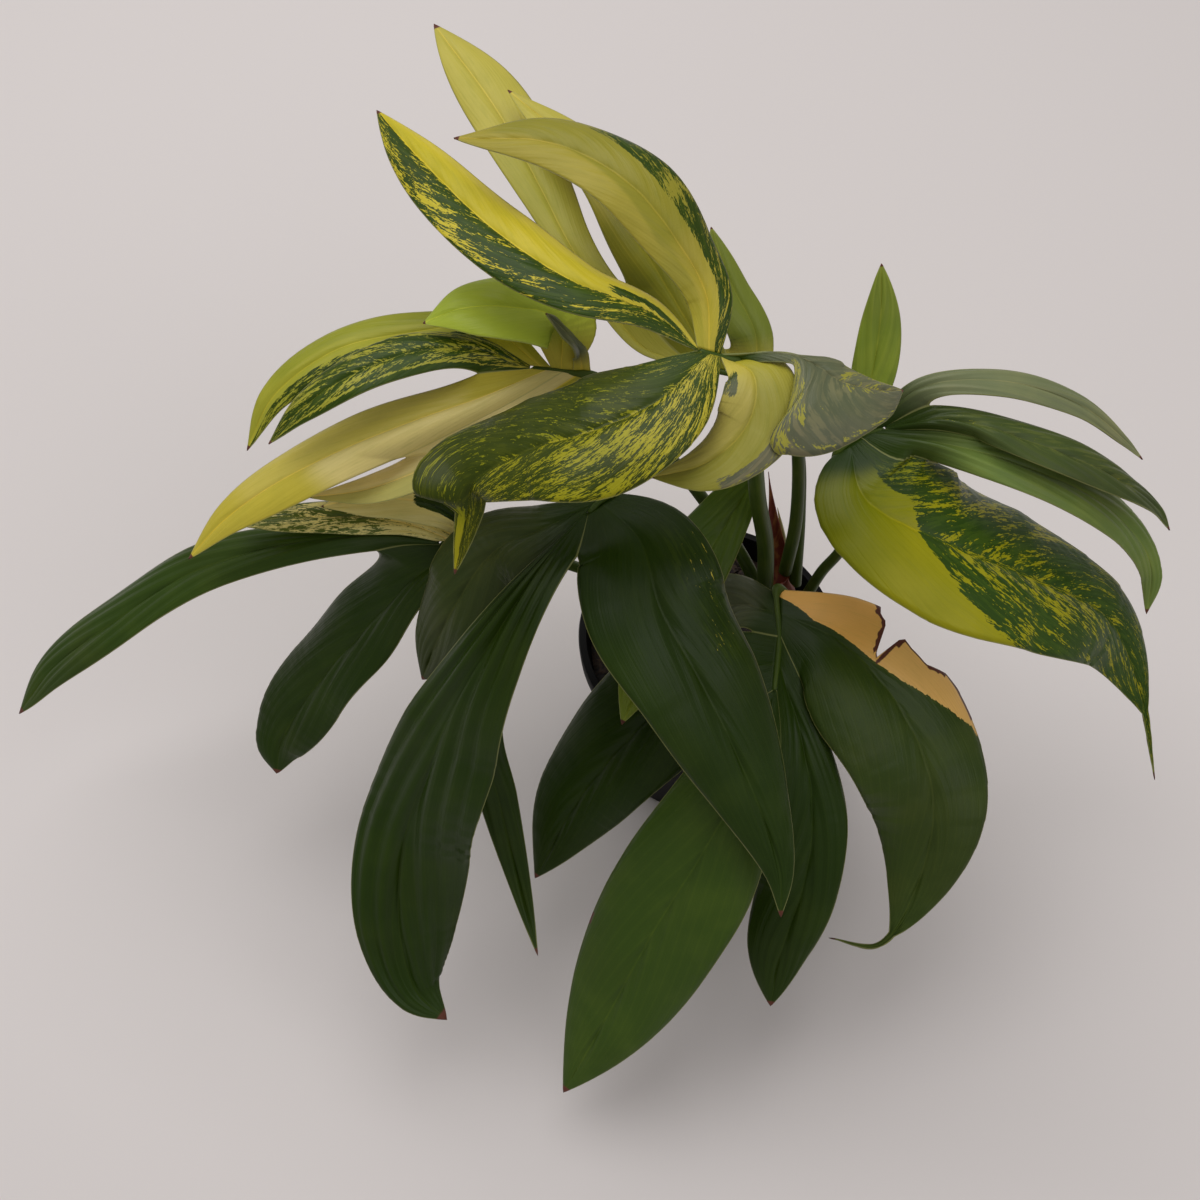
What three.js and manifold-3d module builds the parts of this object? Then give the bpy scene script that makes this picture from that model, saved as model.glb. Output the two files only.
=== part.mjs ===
// Potted variegated dragon tail plant: eight cut leaves on a short vine in a nursery pot.
// Millimetres, +Z up, origin at the middle of the pot's underside.
import * as THREE from 'three';
import { mergeVertices } from 'three/addons/utils/BufferGeometryUtils.js';
import Module from 'manifold-3d';

const wasm = await Module();
wasm.setup();

// Driving dimensions
const pot = {
  topRadius: 60, baseRadius: 44, height: 108, wall: 1.6, floor: 2.5, sides: 48,
  rimDrop: 10, rimReach: 2.4, lip: 0.8, drainHoles: 8, drainRadius: 3.5, drainCircle: 30, drainSides: 12,
};
const soil = { level: 95, crown: 3, shoulder: 0.6, shoulderRise: 0.7, sides: 40 };
const seatGap = 0.3; // between pieces that touch
const vine = { x: 33, y: 5, top: 150, foot: 70, radius: 7, topRadius: 5.2, sides: 14 };
const blade = { thickness: 0.8, rows: 12, columns: 4 };
const rib = { radius: 1.6, sides: 6, step: 7, halfSlot: 0.7, lap: 2.5 };
const petiole = { sides: 8, step: 9 };

// A lobe's outline and bend, where a lobe doesn't say otherwise. root is its width at the midrib as a
// share of its widest, full how far out it is widest, blunt how late it narrows, lean a factor on that
// for its left half, end where it stops narrowing and claw the width of the drip tip that it leaves.
// channel raises both halves beside the lobe's vein, arch lets the margins down, wave ripples them.
const usualLobe = {
  root: 0.34, neck: 0, full: 0.48, blunt: 2.3, lean: 1, end: 1, claw: 0.07, web: 0,
  channel: 0.3, arch: 0.42, wave: 0.05,
};
const waves = 2.5; // ripples along a margin
const swellLead = 0.1; // share of a lobe by which it starts to widen before its neck's end
const clawBlunt = 6; // how late the drip tip narrows
const rootReach = 0.22; // share of a lobe over which it turns from the midrib's line into its own
const webFade = 0.08; // share of a lobe over which a joined margin eases back into its own line

// Every leaf: where its petiole leaves the vine (degrees round it, height) and the points it passes on
// its way to the blade's foot, the blade's midrib, and its lobes clockwise from the midrib's foot, seen
// from above. The lobes before "tip" grow from the left side, those after it from the right. "at" are
// the points after the root that a lobe's vein passes, left and right its half widths at its widest,
// web the twelfths of its length over which it is joined to the next lobe.
const leaves = {
  leaf_top: {
    color: 0x8f8c33, radius: 3.4, tip: 'A1', from: [180, 138],
    petiole: [[21, 8, 172], [14, 5, 212], [7, 3, 262]],
    midrib: [[0, 5, 299], [-7, 4, 304], [-16, 4, 308]],
    lobes: {
      B2: { at: [[3, -4, 305], [4, -13, 304], [1, -22, 299], [-6, -28, 293], [-16, -32, 288],
        [-32, -34, 284]],
        left: 16, right: 12, full: 0.42, blunt: 1.8, root: 0.7 },
      B1: { at: [[-31, -16, 304], [-53, -24, 298], [-76, -24, 286], [-96, -27, 270], [-98, -32, 260],
        [-104, -47, 240]],
        left: 26, right: 25, full: 0.35, blunt: 14, lean: 0.12, end: 0.84, claw: 0.3 },
      A1: { at: [[-33, 16, 314], [-59, 24, 320], [-87, 46, 322], [-116, 85, 318], [-136, 118, 312]],
        left: 15, right: 13 },
      A2: { at: [[-13, 20, 318], [-23, 33, 330], [-40, 50, 341], [-66, 66, 344], [-102, 75, 338]],
        left: 13, right: 17 },
      B3: { at: [[9, 3, 307], [18, 1, 308], [26, -3, 307], [33, -7.5, 305], [45, -9, 302],
        [57, -5, 296]], left: 8, right: 34, neck: 0.44, root: 0.1, full: 0.57, blunt: 0.85, lean: 3,
        arch: 0.5 },
    },
  },
  leaf_back: {
    color: 0x9a9538, radius: 2.7, tip: 'A3', from: [90, 140],
    petiole: [[34, 17, 178], [31, 24, 216], [25, 25, 245]],
    midrib: [[17, 23, 262], [3, 26, 266], [-16, 31, 266]],
    lobes: {
      A3: { at: [[-33, 41, 264], [-48, 59, 270], [-63, 83, 279], [-73, 104, 284], [-92, 143, 290],
        [-120, 192, 292]], left: 12, right: 16, web: 3, neck: 0.3, full: 0.68 },
      A4: { at: [[-16, 44, 274], [-33, 69, 288], [-50, 101, 298], [-87, 143, 300]], left: 11, right: 12,
        web: 1 },
      A5: { at: [[9, 37, 276], [0, 53, 286], [-8, 73, 296]], left: 10, right: 7, full: 0.35,
        root: 0.6 },
    },
  },
  leaf_west: {
    color: 0x8a9440, radius: 2.8, tip: 'C2', from: [160, 124],
    petiole: [[14, 18, 146], [-12, 31, 188], [-36, 34, 228]],
    midrib: [[-53, 33, 256], [-65, 33, 260], [-77, 33, 262]],
    lobes: {
      C4: { at: [[-89, 14, 250], [-116, 4, 238], [-141, 1, 226], [-167, 2, 218]], left: 9, right: 10,
        web: 6 },
      C3: { at: [[-96, 23, 256], [-127, 14, 250], [-167, 3, 236], [-197, -8, 220], [-215, -19, 205]],
        left: 14, right: 14, web: 2 },
      C2: { at: [[-96, 35, 270], [-118, 33, 272], [-145, 24, 268], [-165, 15, 258], [-178, 8, 246]],
        left: 10, right: 10, web: 1 },
      C1: { at: [[-93, 47, 268], [-122, 47, 266], [-153, 43, 260], [-178, 30, 248], [-190, 15, 232]],
        left: 11, right: 11 },
      K: { at: [[-66, 46, 274], [-85, 44, 284], [-103, 43, 284], [-117, 41, 278]], left: 16, right: 18,
        full: 0.4 },
      spike: { at: [[-58, 36, 268], [-64, 35, 282], [-70, 34, 292]], left: 5, right: 5 },
    },
  },
  leaf_southwest: {
    color: 0x2b3d20, radius: 2.7, tip: 'D1', from: [170, 104],
    petiole: [[23, 7, 110], [-9, 8, 124], [-50, 2, 158], [-75, -3, 182]],
    midrib: [[-95, -3, 195], [-105, -5, 197], [-116, -6, 197]],
    lobes: {
      D2: { at: [[-128, -15, 182], [-150, -25, 158], [-176, -39, 128], [-193, -54, 104],
        [-196, -63, 92]], left: 18, right: 24, web: 2, blunt: 4.5 },
      D1: { at: [[-139, -4, 200], [-173, -5, 196], [-217, -8, 180], [-261, -19, 152], [-294, -29, 126],
        [-312, -40, 106]], left: 12, right: 14, blunt: 4, full: 0.55 },
      C5: { at: [[-132, 1, 202], [-160, 1, 206], [-185, 1, 204], [-201, 2, 198]], left: 8, right: 8 },
      D0: { at: [[-116, 6, 204], [-131, 7, 210], [-151, 5, 212], [-163, 3, 210]], left: 10, right: 7 },
    },
  },
  leaf_centre: {
    color: 0x26381d, radius: 3, tip: 'D4', from: [200, 118],
    petiole: [[23, 1, 124], [8, 3, 132], [-20, 8, 148], [-37, 7, 174], [-46, 0, 208]],
    midrib: [[-45, -4, 231], [-50, -9, 233], [-55, -14, 231]],
    lobes: {
      Emain: { at: [[-35, -28, 234], [-27, -54, 226], [-10, -78, 206], [9, -106, 176], [21, -130, 150],
        [22, -145, 138]], left: 28, right: 28, web: 1, root: 0.7, full: 0.3, blunt: 1.6 },
      D4: { at: [[-73, -38, 230], [-94, -63, 210], [-114, -82, 170], [-132, -107, 124], [-136, -135, 90],
        [-130, -155, 68], [-117, -165, 58]],
        left: 29, right: 22, web: 1, root: 0.2, neck: 0.1, full: 0.55, blunt: 3.5 },
      D3: { at: [[-71, -18, 227], [-92, -21, 214], [-108, -36, 197], [-118, -44, 176], [-124, -50, 160]],
        left: 23, right: 20, root: 0.25, blunt: 2.8 },
      D5: { at: [[-78, -41, 212], [-99, -69, 160], [-93, -89, 124], [-84, -118, 92], [-77, -142, 76]],
        left: 9, right: 9 },
    },
  },
  leaf_south: {
    color: 0x2f4a24, radius: 3, tip: 'E3', from: [-80, 112],
    petiole: [[35, -9, 135], [32, -12, 154]],
    midrib: [[26, -9, 164], [25, -35, 166], [22, -57, 163]],
    lobes: {
      E5: { at: [[52, -37, 166], [77, -63, 152], [90, -92, 130], [85, -120, 104], [70, -140, 86],
        [50, -134, 76]], left: 30, right: 34, web: 1, root: 0.5, full: 0.28, blunt: 2, end: 0.86 },
      E4: { at: [[34, -75, 150], [39, -100, 128], [36, -122, 104], [28, -142, 84], [24, -161, 66]],
        left: 15, right: 20, web: 3, blunt: 3.6 },
      E3: { at: [[11, -88, 158], [-7, -115, 134], [-27, -139, 104], [-48, -168, 68], [-66, -192, 40]],
        left: 29, right: 29, web: 3 },
      E2: { at: [[-8, -46, 154], [-33, -61, 136], [-59, -81, 106], [-79, -106, 74]], left: 25,
        right: 29, web: 1, full: 0.4 },
      E0: { at: [[8, -13, 158], [-7, -17, 148], [-22, -25, 134]], left: 16, right: 18 },
    },
  },
  leaf_east: {
    color: 0x3a5127, radius: 2.3, tip: 'H2a', from: [-10, 130],
    petiole: [[46, 2, 160], [52, 1, 184], [49, 5, 212]],
    midrib: [[44, 12, 236], [52, 15, 242], [61, 16, 246]],
    lobes: {
      H4: { at: [[53, 24, 262], [55, 38, 284], [54, 51, 300]], left: 8, right: 9 },
      H3: { at: [[72, 23, 262], [102, 23, 266], [134, 18, 258], [153, 10, 246], [161, 5, 240]],
        left: 6, right: 7, web: 2 },
      H2a: { at: [[83, 11, 258], [121, 0, 254], [151, -5, 240], [171, -7, 222], [177, -11, 214]],
        left: 9, right: 9, web: 3 },
      H2b: { at: [[84, 5, 250], [131, -5, 238], [162, -11, 214], [174, -20, 196], [175, -30, 180]],
        left: 12, right: 12, web: 2 },
      H1: { at: [[52, -12, 238], [83, -26, 228], [122, -29, 206], [159, -33, 180], [179, -52, 148],
        [188, -79, 122]],
        left: 39, right: 34, root: 0.75, neck: 0.15, full: 0.34, blunt: 1.9, lean: 0.73, end: 0.88 },
    },
  },
  leaf_inner: {
    color: 0x35521f, radius: 2.5, tip: 'I1', from: [50, 132],
    petiole: [[38, 29, 165], [35, 40, 195]],
    midrib: [[27, 43, 220], [23, 37, 212], [19, 32, 203]],
    lobes: {
      I1: { at: [[7, 16, 188], [-8, -6, 176], [-27, -42, 166], [-41, -69, 156]], left: 12, right: 20 },
    },
  },
};

// The papery sheath that a leaf leaves on the vine, and the next leaf, still rolled up
const redSheath = {
  color: 0x783728, half: 4,
  at: [[33, 12, 112], [32.5, 14.5, 124], [31, 19, 138], [28, 26, 154], [22, 34, 190]],
};
const rolledLeaf = {
  color: 0xb9b184, radius: 2, sides: 8, step: 9,
  at: [[35.2, 13.2, 108], [35.6, 17, 118], [35, 22, 130], [33, 29, 145], [29, 36, 160]],
};

const up = new THREE.Vector3(0, 0, 1);
const point = (p) => new THREE.Vector3(...p);
const smoothCurve = (points) => new THREE.CatmullRomCurve3(points, false, 'centripetal');

function finish(color, roughness) {
  return new THREE.MeshStandardMaterial({ color, roughness, metalness: 0 });
}

// Solids and meshes
function solidFrom(positions, triangles) {
  const mesh = new wasm.Mesh({
    numProp: 3,
    vertProperties: Float32Array.from(positions),
    triVerts: Uint32Array.from(triangles),
  });
  return new wasm.Manifold(mesh);
}

function solidOf(geometry) {
  const bare = geometry.clone();
  bare.deleteAttribute('normal');
  bare.deleteAttribute('uv');
  const merged = mergeVertices(bare, 1e-3);
  return solidFrom(merged.attributes.position.array, merged.index.array);
}

function meshOf(solid, name, material) {
  const { vertProperties, triVerts } = solid.getMesh();
  const geometry = new THREE.BufferGeometry();
  geometry.setAttribute('position', new THREE.BufferAttribute(vertProperties, 3));
  geometry.setIndex(new THREE.BufferAttribute(triVerts, 1));
  geometry.computeVertexNormals();
  const mesh = new THREE.Mesh(geometry, material);
  mesh.name = name;
  return mesh;
}

// Where faces meet exactly, a join can leave scraps of no volume
function largestBody(solid) {
  return solid.decompose().sort((a, b) => b.volume() - a.volume())[0];
}

function tube(points, radius, sides, step) {
  const path = smoothCurve(points.map(point));
  const section = new THREE.Shape();
  for (let side = 0; side < sides; side += 1) {
    const angle = (side * 2 * Math.PI) / sides;
    section[side ? 'lineTo' : 'moveTo'](radius * Math.cos(angle), radius * Math.sin(angle));
  }
  const steps = Math.max(2, Math.round(path.getLength() / step));
  return solidOf(new THREE.ExtrudeGeometry(section, { steps, extrudePath: path }));
}

// One lobe as a surface: t runs from its root to its tip, v from its left margin (-1) to its right (1)
function widthShare(t, v, lobe) {
  const swell = THREE.MathUtils.smoothstep(t, lobe.neck - swellLead, lobe.full);
  const past = Math.max(0, (t - lobe.full) / (lobe.end - lobe.full));
  const blunt = lobe.blunt * (v < 0 ? lobe.lean : 1);
  const taper = Math.max(0, 1 - past ** blunt);
  return Math.max((lobe.root + (1 - lobe.root) * swell) * taper, lobe.claw * (1 - t ** clawBlunt));
}

function lobeSurface(roots, lobe) {
  const [left, right] = roots;
  const vein = smoothCurve([left.clone().lerp(right, 0.5), ...lobe.at.map(point)]);
  const own = (t, v) => {
    const along = vein.getTangentAt(t);
    const side = along.clone().cross(up).normalize();
    const over = side.clone().cross(along);
    const half = (v < 0 ? lobe.left : lobe.right) * widthShare(t, v, lobe);
    const ripple = lobe.wave * Math.abs(v) ** 3 * Math.sin(2 * Math.PI * waves * t + v);
    const lift = half * (lobe.channel * Math.abs(v) - lobe.arch * v * v + ripple);
    return vein.getPointAt(t).addScaledVector(side, v * half).addScaledVector(over, lift);
  };
  return (t, v) => {
    const pull = Math.max(0, 1 - t / rootReach) ** 2;
    const root = left.clone().lerp(right, (v + 1) / 2);
    return own(t, v).addScaledVector(root.sub(own(0, v)), pull);
  };
}

function lobeGrid(surface) {
  const grid = [];
  for (let row = 0; row <= blade.rows; row += 1) {
    const line = [];
    for (let column = 0; column <= blade.columns; column += 1) {
      line.push(surface(row / blade.rows, (2 * column) / blade.columns - 1));
    }
    grid.push(line);
  }
  return grid;
}

// Joins the right margin of one lobe to the left margin of the next over its first rows
function webTogether(grid, next, webRows) {
  const last = blade.columns;
  const shifts = grid.map((line, row) => {
    const middle = line[last].clone().lerp(next[row][0], 0.5);
    return [middle.clone().sub(line[last]), middle.sub(next[row][0])];
  });
  grid.forEach((line, row) => {
    const past = Math.max(0, row - webRows) / blade.rows;
    const share = Math.exp(-past / webFade);
    const [mine, its] = shifts[Math.min(row, webRows)];
    for (let column = 0; column <= last; column += 1) {
      const v = (2 * column) / last - 1;
      if (v > 0) line[column].addScaledVector(mine, share * v * v);
      if (v < 0) next[row][column].addScaledVector(its, share * v * v);
    }
  });
}

// The lobes as one sheet of triangles, with the joined margins' points shared
function sheetOf(grids, webs) {
  const positions = [];
  const lobes = [];
  const last = blade.columns;
  const places = [];
  const add = (p) => positions.push(p.x, p.y, p.z) / 3 - 1;
  grids.forEach((grid, lobe) => {
    const place = grid.map((line, row) => {
      if (row === blade.rows) return Array(last + 1).fill(add(line[last / 2]));
      const joined = lobe > 0 && row <= webs[lobe - 1];
      return line.map((p, column) => (joined && column === 0 ? places[lobe - 1][row][last] : add(p)));
    });
    places.push(place);
    const triangles = [];
    for (let row = 0; row < blade.rows; row += 1) {
      for (let column = 0; column < last; column += 1) {
        const [a, b] = [place[row][column], place[row][column + 1]];
        const [d, e] = [place[row + 1][column], place[row + 1][column + 1]];
        triangles.push(a, b, e);
        if (d !== e) triangles.push(a, e, d);
      }
    }
    lobes.push(triangles);
  });
  return { positions, lobes };
}

// Gives each lobe of a sheet its thickness, both faces split alike into triangles, with a wall round it.
// The normals are the whole sheet's, so joined lobes meet face to face and become one.
function thicken({ positions, lobes }) {
  const sheet = new THREE.BufferGeometry();
  sheet.setAttribute('position', new THREE.Float32BufferAttribute(positions, 3));
  sheet.setIndex(lobes.flat());
  sheet.computeVertexNormals();
  const normals = sheet.attributes.normal.array;
  const face = (way) => positions.map((value, i) => value + (way * normals[i] * blade.thickness) / 2);
  const count = positions.length / 3;
  return lobes.map((triangles) => {
    const faces = [...triangles];
    const edges = new Set();
    for (let i = 0; i < triangles.length; i += 3) {
      const [a, b, c] = triangles.slice(i, i + 3);
      faces.push(count + c, count + b, count + a);
      [[a, b], [b, c], [c, a]].forEach(([from, to]) => edges.add(`${from},${to}`));
    }
    edges.forEach((edge) => {
      const [from, to] = edge.split(',').map(Number);
      if (edges.has(`${to},${from}`)) return;
      const wall = from < to
        ? [to, from, count + from, to, count + from, count + to]
        : [to, from, count + to, from, count + from, count + to];
      faces.push(...wall);
    });
    return solidFrom([...face(1), ...face(-1)], faces);
  });
}

// The places along both sides of the midrib where neighbouring lobes meet
function rootPoints(curve, leftCount, rightCount) {
  const beside = (share, way) => {
    const side = curve.getTangentAt(share).cross(up).normalize();
    return curve.getPointAt(share).addScaledVector(side, way * rib.halfSlot);
  };
  const points = [];
  for (let i = 0; i <= leftCount; i += 1) points.push(beside(leftCount ? i / leftCount : 1, -1));
  for (let i = rightCount; i >= 0; i -= 1) points.push(beside(rightCount ? i / rightCount : 1, 1));
  return points;
}

// A petiole starts just clear of the vine, which tapers upwards
function petioleFoot({ from: [degrees, height], radius }) {
  const share = (height - vine.foot) / (vine.top - vine.foot);
  const reach = THREE.MathUtils.lerp(vine.radius, vine.topRadius, share) + radius + seatGap;
  const angle = THREE.MathUtils.degToRad(degrees);
  return [vine.x + reach * Math.cos(angle), vine.y + reach * Math.sin(angle), height];
}

// The point that lies rib.lap from one point towards the next, or away from it
function runOn(from, to, way = 1) {
  const step = point(to).sub(point(from)).setLength(way * rib.lap);
  return point(from).add(step).toArray();
}

function leafSolid(leaf) {
  const names = Object.keys(leaf.lobes);
  const lobes = names.map((name) => ({ ...usualLobe, ...leaf.lobes[name] }));
  const tip = names.indexOf(leaf.tip);
  const roots = rootPoints(smoothCurve(leaf.midrib.map(point)), tip, names.length - 1 - tip);
  const grids = lobes.map((lobe, i) => lobeGrid(lobeSurface([roots[i], roots[i + 1]], lobe)));
  lobes.slice(0, -1).forEach((lobe, i) => {
    if (lobe.web) webTogether(grids[i], grids[i + 1], lobe.web);
  });
  const path = [petioleFoot(leaf), ...leaf.petiole, runOn(leaf.midrib[0], leaf.midrib[1])];
  const ribPath = [runOn(leaf.midrib[0], leaf.midrib[1], -1), ...leaf.midrib.slice(1, -1),
    runOn(leaf.midrib.at(-1), leaf.midrib.at(-2), -1)];
  const stalks = tube(path, leaf.radius, petiole.sides, petiole.step)
    .add(tube(ribPath, rib.radius, rib.sides, rib.step));
  const slabs = [];
  let first = 0;
  lobes.forEach((lobe, i) => {
    if (lobe.web && i < lobes.length - 1) return;
    const webs = lobes.slice(first, i).map((one) => one.web);
    slabs.push(...thicken(sheetOf(grids.slice(first, i + 1), webs)));
    first = i + 1;
  });
  const blades = slabs.reduce((joined, slab) => joined.add(slab));
  return largestBody(stalks.add(blades));
}

function sheathSolid({ at, half }) {
  const [foot, ...rest] = at;
  const roots = [-1, 1].map((way) => point(foot).add(new THREE.Vector3(way * half, 0, 0)));
  const narrowing = { root: 1, full: 0.2, blunt: 1.2, wave: 0 };
  const lobe = { ...usualLobe, ...narrowing, at: rest, left: half, right: half };
  return thicken(sheetOf([lobeGrid(lobeSurface(roots, lobe))], []))[0];
}

// Pot, soil and vine
function turned(profile, sides) {
  const outline = profile.map(([radius, z]) => new THREE.Vector2(radius, z));
  return solidOf(new THREE.LatheGeometry(outline, sides).rotateX(Math.PI / 2));
}

// The pot's tapered wall, outside, at a height
function wallRadius(z) {
  return THREE.MathUtils.lerp(pot.baseRadius, pot.topRadius - pot.rimReach, z / pot.height);
}

function potSolid() {
  const rimFoot = pot.height - pot.rimDrop;
  const inner = (z) => wallRadius(z) - pot.wall;
  let solid = turned([
    [0, 0], [pot.baseRadius, 0], [wallRadius(rimFoot), rimFoot], [pot.topRadius - pot.lip, rimFoot],
    [pot.topRadius, pot.height - pot.lip], [pot.topRadius - pot.lip, pot.height],
    [inner(pot.height), pot.height],
    [inner(pot.floor), pot.floor], [0, pot.floor],
  ], pot.sides);
  for (let hole = 0; hole < pot.drainHoles; hole += 1) {
    const angle = (hole * 2 * Math.PI) / pot.drainHoles;
    const { drainRadius, drainSides } = pot;
    const drill = new THREE.CylinderGeometry(drainRadius, drainRadius, 4 * pot.floor, drainSides);
    drill.rotateX(Math.PI / 2);
    drill.translate(pot.drainCircle * Math.cos(angle), pot.drainCircle * Math.sin(angle), 0);
    solid = solid.subtract(solidOf(drill));
  }
  return solid;
}

function soilSolid() {
  const bottom = pot.floor + seatGap;
  const reach = (z) => wallRadius(z) - pot.wall - seatGap;
  const filling = turned([
    [0, bottom], [reach(bottom), bottom], [reach(soil.level), soil.level],
    [reach(soil.level) * soil.shoulder, soil.level + soil.crown * soil.shoulderRise],
    [0, soil.level + soil.crown],
  ], soil.sides);
  const holeRadius = vine.radius + seatGap;
  const hole = new THREE.CylinderGeometry(holeRadius, holeRadius, pot.height, vine.sides);
  hole.rotateX(Math.PI / 2);
  hole.translate(vine.x, vine.y, vine.foot - seatGap + pot.height / 2);
  return filling.subtract(solidOf(hole));
}

function vineSolid() {
  const length = vine.top - vine.foot;
  const stem = new THREE.CylinderGeometry(vine.topRadius, vine.radius, length, vine.sides, 1);
  stem.rotateX(Math.PI / 2);
  stem.translate(vine.x, vine.y, vine.foot + length / 2);
  return solidOf(stem);
}

const plant = new THREE.Group();
plant.add(meshOf(potSolid(), 'pot', finish(0x1c1a1b, 0.5)));
plant.add(meshOf(soilSolid(), 'soil', finish(0x2e2119, 0.95)));
plant.add(meshOf(vineSolid(), 'vine', finish(0x55683a, 0.6)));
Object.entries(leaves).forEach(([name, leaf]) => {
  plant.add(meshOf(leafSolid(leaf), name, finish(leaf.color, 0.4)));
});
plant.add(meshOf(sheathSolid(redSheath), 'red_sheath', finish(redSheath.color, 0.7)));
const roll = tube(rolledLeaf.at, rolledLeaf.radius, rolledLeaf.sides, rolledLeaf.step);
plant.add(meshOf(roll, 'rolled_leaf', finish(rolledLeaf.color, 0.6)));

export default plant;
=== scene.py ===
# Potted variegated dragon tail plant: the looks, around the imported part. Metres, +Z up.
import math
import random

import bmesh
import bpy
from mathutils import Matrix, Vector, noise


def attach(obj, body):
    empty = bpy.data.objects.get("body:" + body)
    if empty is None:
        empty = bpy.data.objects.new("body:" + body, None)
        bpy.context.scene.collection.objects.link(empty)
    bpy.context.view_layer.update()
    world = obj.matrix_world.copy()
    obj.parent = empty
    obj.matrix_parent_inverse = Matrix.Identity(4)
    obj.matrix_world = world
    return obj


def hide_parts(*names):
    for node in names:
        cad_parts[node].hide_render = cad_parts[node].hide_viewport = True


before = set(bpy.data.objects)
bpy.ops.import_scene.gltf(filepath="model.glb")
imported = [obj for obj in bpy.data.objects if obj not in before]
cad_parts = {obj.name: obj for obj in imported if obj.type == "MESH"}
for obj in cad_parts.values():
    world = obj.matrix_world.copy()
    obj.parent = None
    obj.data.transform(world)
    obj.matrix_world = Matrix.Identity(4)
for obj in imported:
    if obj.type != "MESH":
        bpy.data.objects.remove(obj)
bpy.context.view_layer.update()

mm = 0.001
up = Vector((0, 0, 1))
weldReach = 0.01  # mm


def linked(name, data):
    made = bpy.data.objects.new(name, data)
    bpy.context.collection.objects.link(made)
    return made


def meshObject(name, bm):
    mesh = bpy.data.meshes.new(name)
    bm.to_mesh(mesh)
    bm.free()
    return linked(name, mesh)


# Camera, at the photo's angle: from the front and above
view = {"place": (-0.05, -0.334, 0.718), "tilt": 30, "lens": 45, "sensor": 36}

camera = linked("camera", bpy.data.cameras.new("camera"))
camera.data.lens = view["lens"]
camera.data.sensor_width = view["sensor"]
camera.location = view["place"]
camera.rotation_euler = (math.radians(view["tilt"]), 0, 0)
bpy.context.scene.camera = camera
bpy.context.scene.view_settings.view_transform = "Standard"


def bothSides(operation):  # an operator with the wire on its left, then on its right
    return (lambda wire, other: wire.math(operation, wire, other),
            lambda wire, other: wire.math(operation, other, wire))


# Shader maths: a wire is a socket of a material, and sums on it add Math nodes
class Wire:
    def __init__(self, material, socket=None):
        self.material = material
        self.socket = socket

    def node(self, kind, settings, values, out=0):
        tree = self.material.node_tree
        made = tree.nodes.new(kind)
        for name, value in settings.items():
            setattr(made, name, value)
        for key, value in values.items():
            if isinstance(value, Wire):
                tree.links.new(value.socket, made.inputs[key])
            else:
                made.inputs[key].default_value = value
        return Wire(self.material, made.outputs[out] if made.outputs else None)

    def math(self, operation, *values):
        return self.node("ShaderNodeMath", {"operation": operation}, dict(enumerate(values)))

    __add__, __radd__ = bothSides("ADD")
    __sub__, __rsub__ = bothSides("SUBTRACT")
    __mul__, __rmul__ = bothSides("MULTIPLY")
    __truediv__, __rtruediv__ = bothSides("DIVIDE")
    __pow__, __rpow__ = bothSides("POWER")

    def __abs__(self):
        return self.math("ABSOLUTE", self)

    def part(self, axis):  # x, y or z of a vector
        return self.node("ShaderNodeSeparateXYZ", {}, {0: self}, out="XYZ".index(axis))

    def step(self, low, high):  # 0 below low, 1 above high, smooth between
        settings = {"interpolation_type": "SMOOTHSTEP"}
        return self.node("ShaderNodeMapRange", settings, {"Value": self, "From Min": low, "From Max": high})

    def mix(self, first, second):  # colours: first where this wire is 0, second where it is 1
        return self.node("ShaderNodeMix", {"data_type": "RGBA"}, {0: self, 6: first, 7: second}, out=2)

    def shaded(self, share):  # a colour times another
        settings = {"data_type": "RGBA", "blend_type": "MULTIPLY"}
        return self.node("ShaderNodeMix", settings, {0: 1, 6: self, 7: share}, out=2)

    def scaled(self, scale):
        return self.node("ShaderNodeMapping", {}, {"Vector": self, "Scale": scale})

    def noise(self, scale, detail):
        return self.node("ShaderNodeTexNoise", {}, {"Vector": self, "Scale": scale, "Detail": detail})

    def bump(self, strength, depth):  # depth in mm
        values = {"Height": self, "Strength": strength, "Distance": depth * mm}
        return self.node("ShaderNodeBump", {}, values)


def tint(red, green, blue):  # a colour as the eye sees it, 0 to 255, turned linear
    linear = [((c / 255 + 0.055) / 1.055) ** 2.4 if c > 10 else c / 255 / 12.92 for c in (red, green, blue)]
    return (*linear, 1)


objectSpot = ("ShaderNodeTexCoord", {}, {}, 3)  # the place on the object, in metres
tubeSpot = ("ShaderNodeUVMap", {"uv_map": "tubeMap"}, {}, 0)  # round a tube and along it


def newMaterial(name, spot=objectSpot):
    material = bpy.data.materials.new(name)
    material.use_nodes = True
    material.node_tree.nodes.clear()
    return Wire(material).node(*spot)


def finished(color, roughness, others):
    values = {"Base Color": color, "Roughness": roughness, **others}
    surface = color.node("ShaderNodeBsdfPrincipled", {}, values)
    color.node("ShaderNodeOutputMaterial", {}, {"Surface": surface})
    return color.material


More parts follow.
